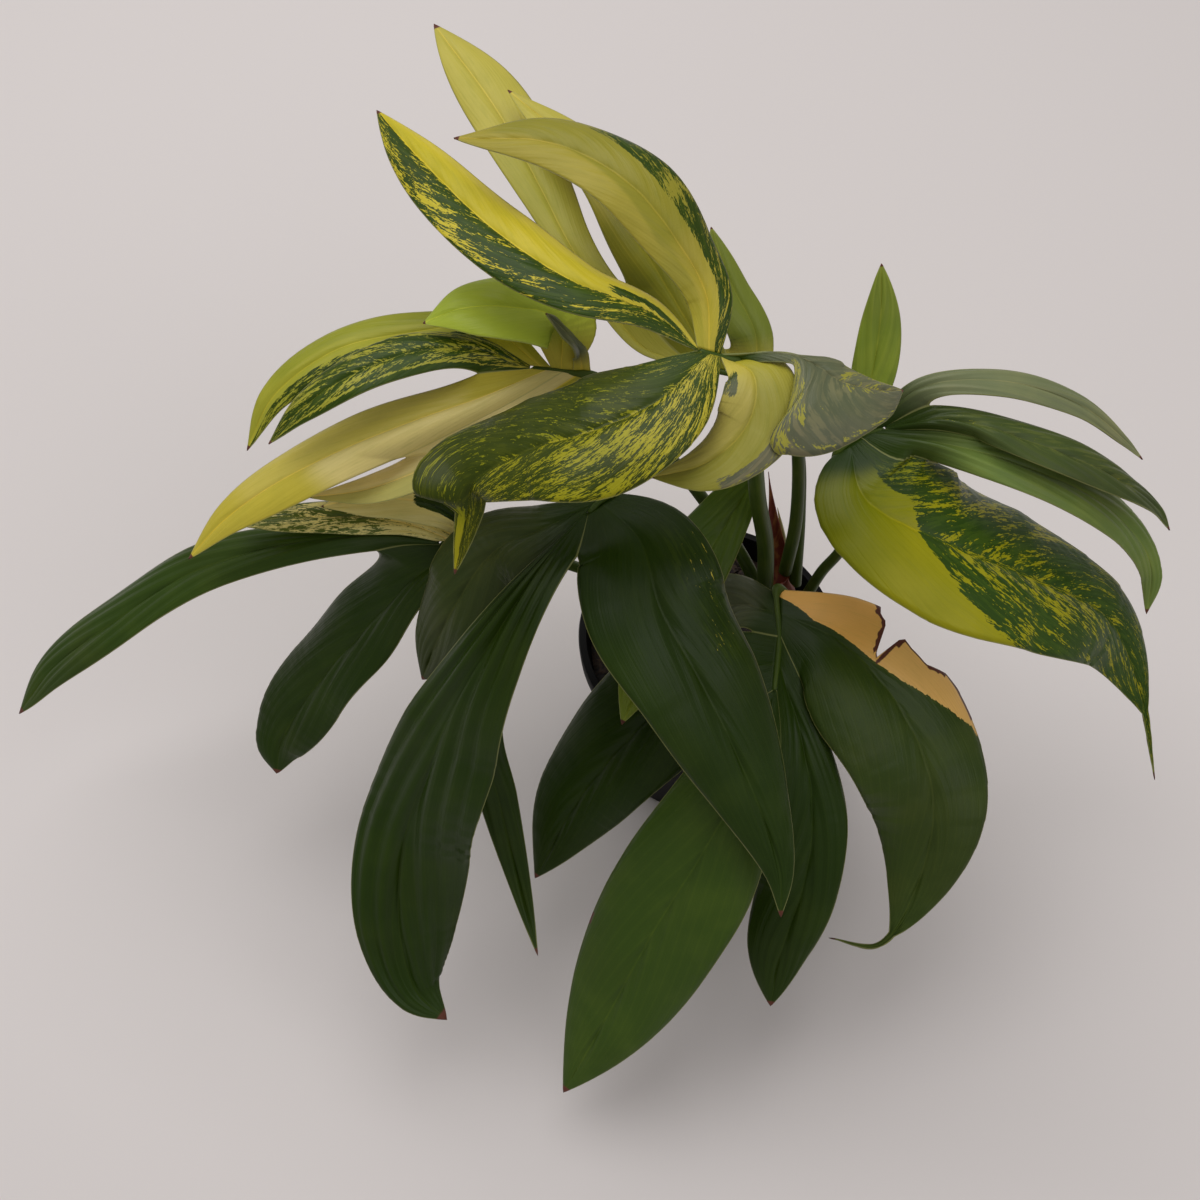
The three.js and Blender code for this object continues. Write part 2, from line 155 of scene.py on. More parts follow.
# Leaf tissue. The blades carry, corner by corner: streak (mm across the veins, mm along them, seed),
# place (mm from the midvein, mm from the margin), green (how much of the spot is green), shade (cream
# below 0, olive up to 1, then fading to deep), burn (dry brown), and the two colours that the streaks
# mix, pale and deep.
leafLook = {
    "coarse": (2.6, 20), "fine": (0.7, 6.5), "flecks": (0.34, 2.0), "tones": (1.3, 14),  # mm across, along
    "grainShares": (0.28, 0.42, 0.3), "grainRoughness": 0.62,  # shares of coarse, fine and flecks
    "greenBase": 0.82, "greenSpread": 0.36, "streakEdge": (0.488, 0.512),
    "veinGap": 1.3, "sideVeinGap": 4.6, "marginWidth": 0.3, "marginTint": tint(168, 168, 104),
    "burnTint": tint(98, 56, 44), "cream": tint(236, 216, 150),
    "oliveShare": (0.5, 0.62, 0.36, 1), "lightShare": (1.9, 1.6, 1.45, 1),
    "darkShare": (0.72, 0.78, 0.7, 1), "brownShare": (1.04, 0.84, 1.06, 1),
    "clouds": 48, "broad": 17, "roughness": 0.36, "gloss": 0.18, "bump": 0.4, "relief": 0.3,
}


def leafMaterial():
    look = leafLook
    spot = newMaterial("leaf_tissue")

    def attribute(name, out):
        return spot.node("ShaderNodeAttribute", {"attribute_name": name}, {}, out=out)

    streak, place = attribute("streak", 1), attribute("place", 1)
    green, shade, burn = attribute("green", 2), attribute("shade", 2), attribute("burn", 2)
    pale, deep = attribute("pale", 0), attribute("deep", 0)
    across, run, seed = streak.part("X"), streak.part("Y"), streak.part("Z")

    def grain(size, shift, detail):
        place = {0: across / size[0] + shift, 1: run / size[1], 2: seed * 7.3 + shift}
        vector = spot.node("ShaderNodeCombineXYZ", {}, place)
        values = {"Vector": vector, "Scale": 1, "Detail": detail, "Roughness": look["grainRoughness"]}
        return spot.node("ShaderNodeTexNoise", {}, values)

    coarse = grain(look["coarse"], 0, 1)
    fine = grain(look["fine"], 11.7, 3)
    flecks = grain(look["flecks"], 23.1, 2)
    shares = look["grainShares"]
    pattern = coarse * shares[0] + fine * shares[1] + flecks * shares[2]
    isGreen = (green * look["greenSpread"] + look["greenBase"] - pattern).step(*look["streakEdge"])

    # tone within each tissue: soft clouds, thin fibres and the fine parallel veins
    clouds = spot.noise(look["clouds"], 3)
    fibres = grain(look["tones"], 31.9, 3)
    veinLine = (spot.math("SINE", across * (math.tau / look["veinGap"])) * 0.5 + 0.5) ** 6
    sideVein = (spot.math("COSINE", across * (math.tau / look["sideVeinGap"])) * 0.5 + 0.5) ** 8
    olive = pale.shaded(look["oliveShare"])
    paleTissue = (shade * -1).step(0, 1).mix(pale, look["cream"])
    isOlive = shade.step(0, 1) * 0.75 + fibres.step(0.5, 0.72) * 0.16 + veinLine * 0.05
    paleTissue = isOlive.mix(paleTissue, olive)
    paleTissue = (clouds.step(0.35, 0.7) * 0.3).mix(paleTissue, paleTissue.shaded(look["darkShare"]))
    paleTissue = (shade - 1).step(0, 1).mix(paleTissue, deep)
    light = deep.shaded(look["lightShare"])
    isStreaky = 1 - (green - 0.9).step(0, 0.5)
    greenTissue = (fibres.step(0.5, 0.6) * isStreaky * 0.7).mix(deep, light)
    isLight = clouds.step(0.4, 0.75) * 0.35 + veinLine * 0.08 + sideVein * 0.14
    greenTissue = isLight.mix(greenTissue, light)
    isBrown = spot.noise(look["broad"], 2).step(0.42, 0.68) * 0.45
    greenTissue = isBrown.mix(greenTissue, greenTissue.shaded(look["brownShare"]))
    tissue = isGreen.mix(paleTissue, greenTissue)

    fromVein, fromEdge = abs(place.part("X")), place.part("Y")
    veinMark = 1 - fromVein.step(0.2, 0.6)
    tissue = (veinMark * 0.3).mix(tissue, tissue.shaded(look["lightShare"]))
    margin = 1 - fromEdge.step(look["marginWidth"] * 0.4, look["marginWidth"] * 1.4)
    tissue = (margin * 0.45).mix(tissue, look["marginTint"])
    tissue = (burn + (fine - 0.5) * 0.5).step(0.35, 0.6).mix(tissue, look["burnTint"])

    relief = veinLine * 0.2 + fibres * 0.3 + clouds * 0.5 - sideVein * 0.4
    return finished(tissue, look["roughness"] + (clouds - 0.5) * 0.3, {
        "Specular IOR Level": look["gloss"], "Normal": relief.bump(look["bump"], look["relief"])})


# Smooth lines through points, as even as a bent stem
def smoothLine(points, perSpan=24):
    points = [Vector(p) * mm for p in points]
    ends = [2 * points[0] - points[1], *points, 2 * points[-1] - points[-2]]
    places = []
    for a, b, c, d in zip(ends, ends[1:], ends[2:], ends[3:]):
        gaps = [max((q - p).length ** 0.5, 1e-4) for p, q in ((a, b), (b, c), (c, d))]
        start = (b - a) / gaps[0] - (c - a) / (gaps[0] + gaps[1]) + (c - b) / gaps[1]
        end = (c - b) / gaps[1] - (d - b) / (gaps[1] + gaps[2]) + (d - c) / gaps[2]
        start, end = start * gaps[1], end * gaps[1]
        for i in range(perSpan):
            s = i / perSpan
            curve = b + start * s + (3 * (c - b) - 2 * start - end) * s ** 2
            places.append(curve + (2 * (b - c) + start + end) * s ** 3)
    places.append(points[-1])
    lengths = [0]
    for p, q in zip(places, places[1:]):
        lengths.append(lengths[-1] + (q - p).length)

    def at(share):
        want = min(max(share, 0), 1) * lengths[-1]
        i = next((k for k in range(1, len(lengths)) if lengths[k] >= want), len(lengths) - 1)
        step = max(lengths[i] - lengths[i - 1], 1e-9)
        point = places[i - 1].lerp(places[i], (want - lengths[i - 1]) / step)
        before, after = places[max(i - 2, 0)], places[min(i + 1, len(places) - 1)]
        return point, (after - before).normalized()

    return at, lengths[-1]


def smoothStep(value, low, high):
    share = min(max((value - low) / (high - low), 0), 1)
    return share * share * (3 - 2 * share)


# A sheet of quads from one grid, as rows of vertices to be moved
def sheetOf(bm, columns, rows):
    made = bmesh.ops.create_grid(bm, x_segments=columns, y_segments=rows, size=1)["verts"]
    made.sort(key=lambda vert: (round(vert.co.y, 4), vert.co.x))
    return [made[i:i + columns + 1] for i in range(0, len(made), columns + 1)]


def newPiece(name, bm, material, node, smooth=True):
    piece = meshObject(name, bm)
    if smooth:
        piece.data.shade_smooth()
    piece.data.materials.append(material)
    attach(piece, "root")
    if node:
        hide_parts(node)
    return piece


def giveWall(piece, thickness):  # half of it to either side
    wall = piece.modifiers.new("thickness", "SOLIDIFY")
    wall.thickness = thickness * mm
    wall.offset = 0


# A closed turned body from its outline, (radius, height) in mm
def turnedBody(outline, sides):
    bm = bmesh.new()
    verts = [bm.verts.new((radius * mm, 0, z * mm)) for radius, z in outline]
    edges = [bm.edges.new(pair) for pair in zip(verts, verts[1:])]
    bmesh.ops.spin(bm, geom=verts + edges, axis=(0, 0, 1), angle=math.tau, steps=sides, use_merge=True)
    bmesh.ops.remove_doubles(bm, verts=bm.verts, dist=weldReach * mm)
    bmesh.ops.recalc_face_normals(bm, faces=bm.faces)
    return bm


# Driving sizes of the plant, in mm, as the solids have them
pot = {
    "topRadius": 60, "baseRadius": 44, "height": 108, "wall": 1.6, "floor": 2.5,
    "rimDrop": 10, "rimReach": 2.4, "drainHoles": 8, "drainRadius": 3.5, "drainCircle": 30,
}
soil = {"level": 95, "crown": 3}
vine = {"x": 33, "y": 5, "top": 150, "foot": 70, "radius": 7, "topRadius": 5.2}
seatGap = 0.3
blade = {
    "thickness": 0.7, "rows": 144, "columns": 32, "crowding": 1.2,  # crowded towards the midvein
    "twelfth": 12,  # rows in a twelfth of a lobe, the unit of web
    "grooveDepth": 0.45, "grooveWidth": 0.9, "grooveEnd": (0, 0.1),  # along the midvein
    "veinBow": 1.25, "pleatRoot": (0.02, 0.2), "pleatTip": (0, 0.15), "pleatMargin": (0, 0.2),
}
rib = {"radius": 1.6, "halfSlot": 0.7}
rootReach = 0.22  # share of a lobe over which it turns from the midrib's line into its own
webFade = 0.08  # share of a lobe over which a joined margin eases back into its own line

# A lobe's outline and bend, where a lobe doesn't say otherwise. slant is how far the side veins run
# along the lobe on their way out, pleat and pleatGap the ripple between them in mm, grain the size of
# the streaks.
usualLobe = {
    "root": 0.34, "neck": 0, "full": 0.48, "blunt": 2.3, "lean": 1, "end": 1, "claw": 0.07, "web": 0,
    "channel": 0.3, "arch": 0.42, "wave": 0.05,
    "slant": 0.7, "pleat": 0.28, "pleatGap": 4.6, "grain": 1,
    "bands": [], "shades": [], "burns": [], "tear": [],
}
waves = 2.5  # ripples along a margin
swellLead = 0.1  # share of a lobe by which it starts to widen before its neck's end
clawBlunt = 6  # how late the drip tip narrows
tornRim = 0.08  # share of a half within which a tear draws the margin's points together
tornLead = 0.008  # share of a lobe by which the brown runs on above and below a tear
tornBurn = 0.03  # share of a half that is brown beside a tear
dryTip = (0.975, 0.995)  # share of a lobe over which its very tip turns brown
sideFade = (0.1, 0.06)  # how far a band fades before its edge across a lobe, and past it
alongFade = (0.06, 0.04)  # the same along the lobe
ownColor = (0.05, 0.3)  # share of a lobe over which the leaf's colours give way to its own

yellow = tint(194, 178, 62)
gold = tint(206, 188, 48)
chartreuse = tint(158, 152, 20)
lightGreen = tint(134, 150, 50)
buff = tint(246, 186, 98)
marbledGreen = tint(46, 66, 12)
greyGreen = tint(92, 98, 72)
darkGreen = tint(36, 55, 8)
midGreen = tint(58, 80, 24)


def lobeOf(left, right, at, **own):  # half widths, then the points of its vein, in mm
    return {"left": left, "right": right, "at": at, **own}


# The leaves, as the solids have them, and their markings. bands are (from v, to v, from t, to t, share
# of green), v from the left margin (-1) to the right one (1), t from root to tip; a list of v follows
# the band's edge from its first t to its last. A share well below 0 or above 1 leaves no streaks.
# shades say the same way where the pale tissue turns cream (below 0) or olive (up to 1), or fades to
# the deep colour (1 to 2), burns where a margin is dry (side, from t, to t, mm), and tear how far out
# the left half reaches at each t.
leaves = {}

leaves["leaf_top"] = {
    "slot": "leaf_variegated", "radius": 3.4, "tip": "A1", "from": (180, 138),
    "petiole": [(21, 8, 172), (14, 5, 212), (7, 3, 262)],
    "midrib": [(0, 5, 299), (-7, 4, 304), (-16, 4, 308)],
    "pale": yellow, "deep": marbledGreen, "green": -0.6, "pleat": 0.14,
    "lobes": {
        "B2": lobeOf(16, 12, [(3, -4, 305), (4, -13, 304), (1, -22, 299), (-6, -28, 293), (-16, -32, 288),
            (-32, -34, 284)], full=0.42, blunt=1.8, root=0.7, deep=greyGreen, pale=tint(170, 158, 70),
            bands=[(0.55, 1, 0.08, 0.32, 0.66), (-1, -0.65, 0.4, 0.72, 0.66)],
            shades=[(-1, 0.1, 0, 1, 0.55), (0.1, 1, 0, 1, -0.2)]),
        "B1": lobeOf(26, 25, [(-31, -16, 304), (-53, -24, 298), (-76, -24, 286), (-96, -27, 270),
            (-98, -32, 260), (-104, -47, 240)], full=0.35, blunt=14, lean=0.12, end=0.84, claw=0.3,
            slant=0.4, green=0.7, pale=tint(164, 156, 28), deep=tint(52, 64, 8),
            bands=[(-1, 0.04, 0, 0.5, 0.53), (-1, -0.1, 0.5, 0.8, 0.62), (-1, 1, 0.8, 1, 0.64),
            (0.2, 0.7, 0.84, 0.98, 0.1)], shades=[(0, 1, 0, 0.85, 0.8), (-1, 0, 0.3, 0.85, 0.35)]),
        "A1": lobeOf(15, 13, [(-33, 16, 314), (-59, 24, 320), (-87, 46, 322), (-116, 85, 318),
            (-136, 118, 312)], pale=gold, slant=0.3,
            bands=[(-1, [0.1, 0.02, 0, -0.04], 0, 1, 0.68), (-1, -0.55, 0.45, 0.95, 0.54),
            (0.12, 0.5, 0.02, 0.22, 0.74)], shades=[(0.7, 1, 0.1, 1, -0.2), (0, 0.5, 0.6, 1, 0.3)]),
        "A2": lobeOf(13, 17, [(-13, 20, 318), (-23, 33, 330), (-40, 50, 341), (-66, 66, 344),
            (-102, 75, 338)], slant=0.3, pale=tint(168, 154, 58),
            bands=[(0.4, 1, 0, 0.4, 0.64), ([0.4, 0.48, 0.62, 0.8], 1, 0.4, 0.68, 0.6)],
            shades=[([-0.6, -0.2, 0.3], 1, 0.3, 0.9, 0.6), (-1, -0.4, 0, 0.3, 0.45)]),
        "B3": lobeOf(8, 34, [(9, 3, 307), (18, 1, 308), (26, -3, 307), (33, -7.5, 305), (45, -9, 302),
            (57, -5, 296)], neck=0.44, root=0.1, full=0.57, blunt=0.85, lean=3, arch=0.5, deep=greyGreen,
            green=1.15, pale=tint(158, 152, 62), slant=0.2,
            bands=[(0.45, 1, 0.3, 0.58, 0.5), (-1, 0.2, 0.6, 1, 0.6), (0.86, 0.96, 0.5, 1, 0.5),
            (-1, 1, 0, 0.3, 1.4)]),
    },
}

leaves["leaf_back"] = {
    "slot": "leaf_variegated", "radius": 2.7, "tip": "A3", "from": (90, 140),
    "petiole": [(34, 17, 178), (31, 24, 216), (25, 25, 245)],
    "midrib": [(17, 23, 262), (3, 26, 266), (-16, 31, 266)],
    "pale": tint(190, 178, 76), "deep": tint(120, 122, 34), "green": -0.6, "pleat": 0.06,
    "lobes": {
        "A3": lobeOf(12, 16, [(-33, 41, 264), (-48, 59, 270), (-63, 83, 279), (-73, 104, 284),
            (-92, 143, 290), (-120, 192, 292)], web=3, neck=0.3, full=0.68,
            shades=[(-1, 1, 0, 0.62, 0.5)]),
        "A4": lobeOf(11, 12, [(-16, 44, 274), (-33, 69, 288), (-50, 101, 298), (-87, 143, 300)], web=1,
            bands=[(-1, 1, 0, 0.64, 1.6)]),
        "A5": lobeOf(10, 7, [(9, 37, 276), (0, 53, 286), (-8, 73, 296)], full=0.35, root=0.6,
            pale=tint(118, 128, 48)),
    },
}

leaves["leaf_west"] = {
    "slot": "leaf_variegated", "radius": 2.8, "tip": "C2", "from": (160, 124),
    "petiole": [(14, 18, 146), (-12, 31, 188), (-36, 34, 228)],
    "midrib": [(-53, 33, 256), (-65, 33, 260), (-77, 33, 262)],
    "pale": yellow, "deep": marbledGreen, "green": -0.6, "pleat": 0.12,
    "lobes": {
        "C4": lobeOf(9, 10, [(-89, 14, 250), (-116, 4, 238), (-141, 1, 226), (-167, 2, 218)], web=6,
            pale=tint(218, 204, 124), shades=[(-1, -0.1, 0, 1, 0.5), (0.1, 1, 0, 1, -0.7)]),
        "C3": lobeOf(14, 14, [(-96, 23, 256), (-127, 14, 250), (-167, 3, 236), (-197, -8, 220),
            (-215, -19, 205)], web=2, shades=[(-1, 0, 0, 0.6, -0.6), (0, 1, 0.2, 0.8, -0.25)]),
        "C2": lobeOf(10, 10, [(-96, 35, 270), (-118, 33, 272), (-145, 24, 268), (-165, 15, 258),
            (-178, 8, 246)], web=1, slant=0.3, pale=tint(172, 166, 58),
            bands=[(-0.7, 1, 0, 1, 0.57), (-1, -0.75, 0, 1, 0.9)], shades=[(-1, 1, 0, 1, 0.3)]),
        "C1": lobeOf(11, 11, [(-93, 47, 268), (-122, 47, 266), (-153, 43, 260), (-178, 30, 248),
            (-190, 15, 232)], pale=tint(166, 164, 52), bands=[(-1, -0.35, 0.15, 1, 0.58)],
            shades=[(0.3, 1, 0, 0.8, 0.5)]),
        "K": lobeOf(16, 18, [(-66, 46, 274), (-85, 44, 284), (-103, 43, 284), (-117, 41, 278)], full=0.4,
            pale=tint(180, 196, 66), pleat=0.1),
        "spike": lobeOf(5, 5, [(-58, 36, 268), (-64, 35, 282), (-70, 34, 292)], pale=greyGreen),
    },
}

leaves["leaf_southwest"] = {
    "slot": "leaf_dark", "radius": 2.7, "tip": "D1", "from": (170, 104),
    "petiole": [(23, 7, 110), (-9, 8, 124), (-50, 2, 158), (-75, -3, 182)],
    "midrib": [(-95, -3, 195), (-105, -5, 197), (-116, -6, 197)],
    "pale": tint(226, 212, 136), "deep": darkGreen, "green": 1.6,
    "lobes": {
        "D2": lobeOf(18, 24, [(-128, -15, 182), (-150, -25, 158), (-176, -39, 128), (-193, -54, 104),
            (-196, -63, 92)], web=2, blunt=4.5),
        # D1's deep green is lighter than the leaf's dark green: painted sheen.
        "D1": lobeOf(12, 14, [(-139, -4, 200), (-173, -5, 196), (-217, -8, 180), (-261, -19, 152),
            (-294, -29, 126), (-312, -40, 106)], blunt=4, full=0.55, deep=tint(48, 69, 17)),
        "C5": lobeOf(8, 8, [(-132, 1, 202), (-160, 1, 206), (-185, 1, 204), (-201, 2, 198)], green=0.56,
            deep=tint(76, 92, 36), bands=[(-1, 1, 0, 0.3, 0.3)]),
        "D0": lobeOf(10, 7, [(-116, 6, 204), (-131, 7, 210), (-151, 5, 212), (-163, 3, 210)], green=-0.4,
            bands=[(-0.3, 1, 0, 0.45, 0.95)]),
    },
}

leaves["leaf_centre"] = {
    "slot": "leaf_dark", "radius": 3, "tip": "D4", "from": (200, 118),
    "petiole": [(23, 1, 124), (8, 3, 132), (-20, 8, 148), (-37, 7, 174), (-46, 0, 208)],
    "midrib": [(-45, -4, 231), (-50, -9, 233), (-55, -14, 231)],
    "pale": yellow, "deep": darkGreen, "green": 1.6,
    "lobes": {
        "Emain": lobeOf(28, 28, [(-35, -28, 234), (-27, -54, 226), (-10, -78, 206), (9, -106, 176),
            (21, -130, 150), (22, -145, 138)], web=1, root=0.7, full=0.3, blunt=1.6, slant=1.1,
            bands=[(-0.95, -0.35, 0.12, 0.44, 0.81)]),
        "D4": lobeOf(29, 22, [(-73, -38, 230), (-94, -63, 210), (-114, -82, 170), (-132, -107, 124),
            (-136, -135, 90), (-130, -155, 68), (-117, -165, 58)], web=1, root=0.2, neck=0.1, full=0.55,
            blunt=3.5, pleat=1.1, pleatGap=9.5, slant=1.1),
        # D3's deep green is lighter than the leaf's dark green: painted sheen.
        "D3": lobeOf(23, 20, [(-71, -18, 227), (-92, -21, 214), (-108, -36, 197), (-118, -44, 176),
            (-124, -50, 160)], root=0.25, blunt=2.8, deep=tint(52, 66, 26)),
        "D5": lobeOf(9, 9, [(-78, -41, 212), (-99, -69, 160), (-93, -89, 124), (-84, -118, 92),
            (-77, -142, 76)]),
    },
}

leaves["leaf_south"] = {
    "slot": "leaf_green", "radius": 3, "tip": "E3", "from": (-80, 112),
    "petiole": [(35, -9, 135), (32, -12, 154)],
    "midrib": [(26, -9, 164), (25, -35, 166), (22, -57, 163)],
    "pale": buff, "deep": darkGreen, "green": 1.6,
    "lobes": {
        # E5's deep green is lighter than the leaf's dark green: painted sheen.
        "E5": lobeOf(30, 34, [(52, -37, 166), (77, -63, 152), (90, -92, 130), (85, -120, 104),
            (70, -140, 86), (50, -134, 76)], web=1, root=0.5, full=0.28, blunt=2, end=0.86,
            deep=tint(54, 71, 24),
            bands=[(-1, [-0.7, -0.18, -0.13, -0.14, -0.28, -0.57, -0.95], 0, 0.43, -1.2)],
            shades=[(-1, 0, 0.2, 0.5, -0.3)], burns=[(-1, 0.15, 0.42, 0.9), (-1, 0.155, 0.19, 2.2)],
            tear=[(0.16, 1), (0.168, 0.84), (0.185, 0.76), (0.195, 0.5), (0.204, 0.3), (0.2145, 0.14),
            (0.2225, 0.66), (0.229, 0.73), (0.25, 0.7), (0.29, 0.72), (0.325, 0.94), (0.36, 1)]),
        "E4": lobeOf(15, 20, [(34, -75, 150), (39, -100, 128), (36, -122, 104), (28, -142, 84),
            (24, -161, 66)], web=3, blunt=3.6),
        "E3": lobeOf(29, 29, [(11, -88, 158), (-7, -115, 134), (-27, -139, 104), (-48, -168, 68),
            (-66, -192, 40)], web=3, deep=midGreen, burns=[(1, 0.62, 0.65, 1.6)]),
        "E2": lobeOf(25, 29, [(-8, -46, 154), (-33, -61, 136), (-59, -81, 106), (-79, -106, 74)], web=1,
            full=0.4),
        "E0": lobeOf(16, 18, [(8, -13, 158), (-7, -17, 148), (-22, -25, 134)], deep=greyGreen),
    },
}

leaves["leaf_east"] = {
    "slot": "leaf_green", "radius": 2.3, "tip": "H2a", "from": (-10, 130),
    "petiole": [(46, 2, 160), (52, 1, 184), (49, 5, 212)],
    "midrib": [(44, 12, 236), (52, 15, 242), (61, 16, 246)],
    "pale": chartreuse, "deep": darkGreen, "green": 1.6,
    "lobes": {
        # The deep greens of H4, H3, H2a and H2b are lighter and greyer than the leaf's dark green: painted
        # sheen.
        "H4": lobeOf(8, 9, [(53, 24, 262), (55, 38, 284), (54, 51, 300)], deep=tint(118, 138, 48)),
        "H3": lobeOf(6, 7, [(72, 23, 262), (102, 23, 266), (134, 18, 258), (153, 10, 246), (161, 5, 240)],
            web=2, deep=tint(112, 120, 84)),
        "H2a": lobeOf(9, 9, [(83, 11, 258), (121, 0, 254), (151, -5, 240), (171, -7, 222), (177, -11, 214)],
            web=3, slant=0.3, deep=tint(66, 80, 38), bands=[(-0.8, 0.3, 0.15, 0.8, 0.87)]),
        "H2b": lobeOf(12, 12, [(84, 5, 250), (131, -5, 238), (162, -11, 214), (174, -20, 196),
            (175, -30, 180)], web=2, deep=tint(104, 126, 60)),
        "H1": lobeOf(39, 34, [(52, -12, 238), (83, -26, 228), (122, -29, 206), (159, -33, 180),
            (179, -52, 148), (188, -79, 122)], root=0.75, neck=0.15, full=0.34, blunt=1.9, lean=0.73,
            end=0.88, slant=0.3, green=0.66, deep=tint(46, 70, 18), pleat=0.2, grain=1.7,
            bands=[(-1, -0.5, 0.1, 0.5, 0.56), (0, 0.5, 0.3, 0.6, 0.53),
            ([-0.4, -0.4, -0.3, -0.25, 0.3, 0.67, 0.93, 1.1], 1, 0, 0.42, -0.7)],
            shades=[(-1, 1, 0, 0.08, 2), (-1, 1, 0.08, 0.14, 1.4), (-1, 1, 0.14, 0.2, 0.7),
            (0, 1, 0.2, 0.3, 0.25)]),
    },
}

leaves["leaf_inner"] = {
    "slot": "leaf_green", "radius": 2.5, "tip": "I1", "from": (50, 132),
    "petiole": [(38, 29, 165), (35, 40, 195)],
    "midrib": [(27, 43, 220), (23, 37, 212), (19, 32, 203)],
    "pale": lightGreen, "deep": tint(62, 84, 18), "green": 1.6,
    "lobes": {
        "I1": lobeOf(12, 20, [(7, 16, 188), (-8, -6, 176), (-27, -42, 166), (-41, -69, 156)],
            bands=[(-1, 1, 0.88, 1, -0.6)]),
    },
}


# Each lobe's outline
def widthShare(t, v, lobe):
    swell = smoothStep(t, lobe["neck"] - swellLead, lobe["full"])
    past = max(0, (t - lobe["full"]) / (lobe["end"] - lobe["full"]))
    taper = max(0, 1 - past ** (lobe["blunt"] * (lobe["lean"] if v < 0 else 1)))
    return max((lobe["root"] + (1 - lobe["root"]) * swell) * taper, lobe["claw"] * (1 - t ** clawBlunt))


def tornShare(t, tear):  # how far out a torn half reaches at t
    for (before, low), (after, high) in zip(tear, tear[1:]):
        if before <= t <= after:
            return low + (high - low) * (t - before) / (after - before)
    return 1


def tucked(v, reach):  # the outermost points drawn in to where the blade ends
    whole = reach - tornRim
    if -v <= whole:
        return v
    return -whole - tornRim * (-v - whole) / (1 - whole)


# One lobe's points, row by row, and what each point carries
def lobePoints(roots, lobe, seed):
    left, right = roots
    vein, length = smoothLine([(left + right) / 2 / mm, *lobe["at"]])
    length /= mm
    rows, points, facts = blade["rows"], [], []
    for row in range(rows + 1):
        t = row / rows
        middle, along = vein(t)
        side = along.cross(up).normalized()
        over = side.cross(along)
        line, told = [], []
        for column in range(blade["columns"] + 1):
            u = 2 * column / blade["columns"] - 1
            v = math.copysign(abs(u) ** blade["crowding"], u)
            reach = tornShare(t, lobe["tear"]) if v < 0 else 1
            v = tucked(v, reach)
            widest = lobe["left"] if v < 0 else lobe["right"]
            half = widest * widthShare(t, v, lobe)
            ripple = math.sin(math.tau * waves * t + v)
            lift = half * (lobe["channel"] * abs(v) - lobe["arch"] * v * v)
            lift += half * lobe["wave"] * abs(v) ** 3 * ripple
            spread = 1 / math.hypot(1 / length, lobe["slant"] / widest)
            across = spread * (lobe["slant"] * abs(v) ** blade["veinBow"] - t)
            calm = smoothStep(t, *blade["pleatRoot"]) * smoothStep(1 - t, *blade["pleatTip"])
            calm *= smoothStep(reach - abs(v), *blade["pleatMargin"])
            lift += lobe["pleat"] * calm * math.cos(math.tau * across / lobe["pleatGap"])
            groove = blade["grooveDepth"] * math.exp(-((v * half / blade["grooveWidth"]) ** 2))
            lift -= groove * smoothStep(1 - t, *blade["grooveEnd"])
            line.append(middle + side * (v * half * mm) + over * (lift * mm))
            run = t * length + abs(v) * widest
            streak = (across / lobe["grain"], run / lobe["grain"], seed + (0.5 if v < 0 else 0))
            told.append({"v": v, "t": t, "streak": streak, "place": (v * half, (reach - abs(v)) * half, 0)})
        points.append(line)
        facts.append(told)
    pulls = [left.lerp(right, (told["v"] + 1) / 2) - point for told, point in zip(facts[0], points[0])]
    for row, line in enumerate(points):
        share = max(0, 1 - row / rows / rootReach) ** 2
        points[row] = [point + pull * share for point, pull in zip(line, pulls)]
    return points, facts


# Joins the right margin of one lobe to the left margin of the next over its first rows
def webTogether(points, following, facts, web):
    webRows = web * blade["twelfth"]
    shifts = []
    for line, its in zip(points, following):
        middle = (line[-1] + its[0]) / 2
        shifts.append((middle - line[-1], middle - its[0]))
    for row, line in enumerate(points):
        past = max(0, row - webRows) / blade["rows"]
        share = math.exp(-past / webFade)
        mine, other = shifts[min(row, webRows)]
        for column, told in enumerate(facts[row]):
            v = told["v"]
            if v > 0:
                line[column] += mine * (share * v * v)
            if v < 0:
                following[row][column] += other * (share * v * v)


# An edge of a band at t: a plain v, or a list of v spread evenly from the band's first t to its last
def edgeAt(edge, t0, t1, t):
    if not isinstance(edge, list):
        return edge
    spot = min(max((t - t0) / (t1 - t0), 0), 1) * (len(edge) - 1)
    low = min(int(spot), len(edge) - 2)
    return edge[low] + (edge[low + 1] - edge[low]) * (spot - low)


def beyond(value, edge, fade):  # 0 well before an edge, 1 well past it
    return smoothStep(value, edge - fade[0], edge + fade[1])


def bandsAt(v, t, value, bands):
    for fromV, toV, t0, t1, own in bands:
        v0, v1 = edgeAt(fromV, t0, t1, t), edgeAt(toV, t0, t1, t)
        inside = beyond(v, v0, sideFade) if fromV != -1 else 1
        inside *= beyond(-v, -v1, sideFade) if toV != 1 else 1
        inside *= beyond(t, t0, alongFade) if t0 > 0 else 1
        inside *= beyond(-t, -t1, alongFade) if t1 < 1 else 1
        value += (own - value) * inside
    return value


def burnAt(fact, lobe):
    v, t = fact["v"], fact["t"]
    burn = smoothStep(t, *dryTip)
    if v < 0 and lobe["tear"]:
        reach = min(tornShare(t + shift, lobe["tear"]) for shift in (-tornLead, 0, tornLead))
        burn = max(burn, smoothStep(-v, reach - tornBurn, reach) if reach < 1 else 0)
    for side, t0, t1, width in lobe["burns"]:
        if side * v > 0 and t0 < t < t1:
            burn = max(burn, 1 - smoothStep(fact["place"][1], width * 0.4, width))
    return burn


def rootPoints(leaf, leftCount, rightCount):
    line, _ = smoothLine(leaf["midrib"])

    def beside(count, way):
        places = [line(i / count if count else 1) for i in range(count + 1)]
        reach = way * rib["halfSlot"] * mm
        return [point + along.cross(up).normalized() * reach for point, along in places]

    return beside(leftCount, -1) + beside(rightCount, 1)[::-1]


